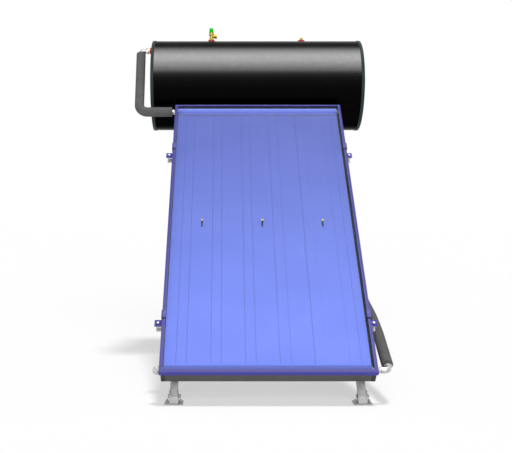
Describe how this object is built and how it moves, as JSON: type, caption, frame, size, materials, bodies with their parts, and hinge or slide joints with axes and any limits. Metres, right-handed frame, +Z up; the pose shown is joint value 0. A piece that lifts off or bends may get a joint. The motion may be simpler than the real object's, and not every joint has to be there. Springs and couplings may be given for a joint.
{
  "type": "solar water heater",
  "caption": "Sloping flat-plate solar collector on a galvanised stand, with a horizontal storage tank above it; two insulated pipes let the water circulate by itself.",
  "frame": {"origin": "on the floor, at the centre of the anchor-hole pattern of the feet", "axes": "+X along the tank, from the hot flow pipe's side to the return pipe's side; +Y from the collector's low edge towards the tank; +Z up"},
  "size_m": [1.452, 2.0166, 2.1035],
  "materials": {
    "blue_paint": "satin blue paint",
    "casing_grey": "dark grey painted aluminium",
    "bare_aluminium": "mill finish",
    "mineral_wool": "dark glass wool",
    "absorber_blue": "selective blue coating",
    "copper": "bare copper",
    "pale_silicone": "matte silicone",
    "glass": "clear tempered glass",
    "black_rubber": "matte",
    "post_metal": "dull yellow plating",
    "galvanised_steel": "hot-dip galvanised",
    "zinc_bolts": "zinc plated",
    "black_enamel": "gloss black enamel",
    "rim_trim": "grey teal paint",
    "vessel_steel": "mild steel, enamelled inside",
    "polyurethane_foam": "rigid foam",
    "magnesium": "cast magnesium",
    "pipe_steel": "stainless steel",
    "red_silicone": "red silicone",
    "brass": "bright brass",
    "spring_steel": "spring steel",
    "green_plastic": "moulded green plastic",
    "nickel_plate": "nickel plated brass",
    "foam_sleeve": "closed-cell rubber foam"
  },
  "bodies": {
    "heater": {"frame_left": "blue_paint", "frame_right": "blue_paint", "frame_top": "blue_paint", "frame_bottom": "blue_paint", "collector_clamps": "blue_paint", "collector_casing": "casing_grey", "collector_back_sheet": "bare_aluminium", "riser_plates": "bare_aluminium", "collector_insulation": "mineral_wool", "absorber_sheet": "absorber_blue", "header_tubes": "copper", "riser_tubes": "copper", "header_grommets": "pale_silicone", "glass_pane": "glass", "glass_gasket": "black_rubber", "saddle_pads": "black_rubber", "flange_gasket": "black_rubber", "glass_support_posts": "post_metal", "cross_rails": "galvanised_steel", "left_sloping_beam": "galvanised_steel", "right_sloping_beam": "galvanised_steel", "left_rear_post": "galvanised_steel", "right_rear_post": "galvanised_steel", "tank_arms": "galvanised_steel", "diagonal_struts": "galvanised_steel", "rear_cross_braces": "galvanised_steel", "tank_saddles": "galvanised_steel", "stand_bolts": "zinc_bolts", "clamp_bolts": "zinc_bolts", "foot_pivot_bolts": "zinc_bolts", "flange_bolts": "zinc_bolts", "tank_casing": "black_enamel", "left_end_cover": "black_enamel", "right_end_cover": "black_enamel", "end_rims": "rim_trim", "inner_vessel": "vessel_steel", "heating_jacket": "vessel_steel", "service_flange": "vessel_steel", "tank_insulation": "polyurethane_foam", "magnesium_anode": "magnesium", "jacket_nipples": "pipe_steel", "cold_water_inlet": "pipe_steel", "hot_water_outlet": "pipe_steel", "flow_pipe": "pipe_steel", "return_pipe": "pipe_steel", "port_gaskets": "red_silicone", "relief_valve_body": "brass", "vent_plug": "brass", "relief_spring": "spring_steel", "pipe_elbows": "nickel_plate", "header_unions": "nickel_plate", "drain_plug": "nickel_plate", "flow_pipe_insulation": "foam_sleeve", "return_pipe_insulation": "foam_sleeve"},
    "front_left_foot_bracket": {"front_left_foot": "galvanised_steel"},
    "front_right_foot_bracket": {"front_right_foot": "galvanised_steel"},
    "rear_left_foot_bracket": {"rear_left_foot": "galvanised_steel"},
    "rear_right_foot_bracket": {"rear_right_foot": "galvanised_steel"},
    "test_cap": {"relief_valve_cap": "green_plastic"},
    "valve_spindle": {"relief_spindle": "brass"}
  },
  "joints": [
    {"name": "front_left_foot_tilt", "type": "hinge", "parent": "heater", "child": "front_left_foot_bracket", "pos_m": [-0.447, -0.94, 0.034], "axis": [1, 0, 0], "range_deg": [-25, 25]},
    {"name": "front_right_foot_tilt", "type": "hinge", "parent": "heater", "child": "front_right_foot_bracket", "pos_m": [0.447, -0.94, 0.034], "axis": [1, 0, 0], "range_deg": [-25, 25]},
    {"name": "rear_left_foot_tilt", "type": "hinge", "parent": "heater", "child": "rear_left_foot_bracket", "pos_m": [-0.447, 0.94, 0.034], "axis": [1, 0, 0], "range_deg": [-25, 25]},
    {"name": "rear_right_foot_tilt", "type": "hinge", "parent": "heater", "child": "rear_right_foot_bracket", "pos_m": [0.447, 0.94, 0.034], "axis": [1, 0, 0], "range_deg": [-25, 25]},
    {"name": "test_cap_turn", "type": "hinge", "parent": "heater", "child": "test_cap", "pos_m": [-0.294, 0.7136, 2.0745], "axis": [0, 0, 1], "range_deg": [0, 90]},
    {"name": "spindle_lift", "type": "slide", "parent": "heater", "child": "valve_spindle", "axis": [0, 0, 1], "range_m": [0, 0.002], "stiffness_N_per_m": 100, "springref_m": -0.001, "deforming": ["relief_spring"]}
  ],
  "couplings": [
    {"joint": "test_cap_turn", "follows": "spindle_lift", "rad_per_m": 785.4}
  ]
}
